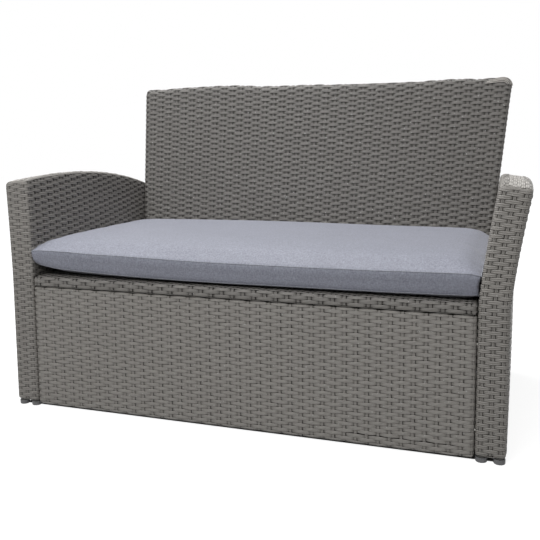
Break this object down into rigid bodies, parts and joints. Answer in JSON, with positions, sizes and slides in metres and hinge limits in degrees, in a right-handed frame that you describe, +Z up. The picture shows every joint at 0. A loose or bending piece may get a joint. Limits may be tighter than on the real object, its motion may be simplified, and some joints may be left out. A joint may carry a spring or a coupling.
{
  "type": "garden sofa",
  "caption": "Two seat garden sofa with woven plastic strand over a bolted steel tube frame, flared arms with arched tops, a reclined back and a loose crowned seat cushion.",
  "frame": {"origin": "on the floor at the middle of the overall footprint", "axes": "+X to the sitter's left as seen from in front on the right, +Y from the front panel to the back, +Z up"},
  "size_m": [1.2526, 0.7228, 0.83],
  "materials": {
    "wicker": "satin flat plastic strand, warm grey, plain weave",
    "frame_steel": "powder coated steel tube",
    "zinc": "bright zinc plate",
    "foot_cap": "moulded black plastic",
    "cushion_fabric": "woven polyester, blue grey",
    "cushion_foam": "open cell foam, out of sight in the cover",
    "zip_tape": "nylon coil zip on woven tape"
  },
  "bodies": {
    "sofa": {"right_arm_frame": "frame_steel", "right_arm_weave": "wicker", "right_front_inner_foot_cap": "foot_cap", "right_front_outer_foot_cap": "foot_cap", "right_rear_inner_foot_cap": "foot_cap", "right_rear_outer_foot_cap": "foot_cap", "right_front_panel_bolt_1": "zinc", "right_front_panel_washer_1": "zinc", "right_front_panel_bolt_2": "zinc", "right_front_panel_washer_2": "zinc", "right_seat_bolt_1": "zinc", "right_seat_washer_1": "zinc", "right_seat_bolt_2": "zinc", "right_seat_washer_2": "zinc", "right_back_bolt_1": "zinc", "right_back_washer_1": "zinc", "right_back_bolt_2": "zinc", "right_back_washer_2": "zinc", "left_arm_frame": "frame_steel", "left_arm_weave": "wicker", "left_front_inner_foot_cap": "foot_cap", "left_front_outer_foot_cap": "foot_cap", "left_rear_inner_foot_cap": "foot_cap", "left_rear_outer_foot_cap": "foot_cap", "left_front_panel_bolt_1": "zinc", "left_front_panel_washer_1": "zinc", "left_front_panel_bolt_2": "zinc", "left_front_panel_washer_2": "zinc", "left_seat_bolt_1": "zinc", "left_seat_washer_1": "zinc", "left_seat_bolt_2": "zinc", "left_seat_washer_2": "zinc", "left_back_bolt_1": "zinc", "left_back_washer_1": "zinc", "left_back_bolt_2": "zinc", "left_back_washer_2": "zinc", "seat_frame": "frame_steel", "seat_weave": "wicker", "front_panel_frame": "frame_steel", "front_panel_weave": "wicker", "back_frame": "frame_steel", "back_weave": "wicker"},
    "cushion": {"cushion_cover": "cushion_fabric", "cushion_foam": "cushion_foam", "cushion_zip": "zip_tape"}
  },
  "joints": [
    {"name": "cushion_lift", "type": "slide", "parent": "sofa", "child": "cushion", "axis": [0, 0, 1], "range_m": [0, 0.5]}
  ]
}
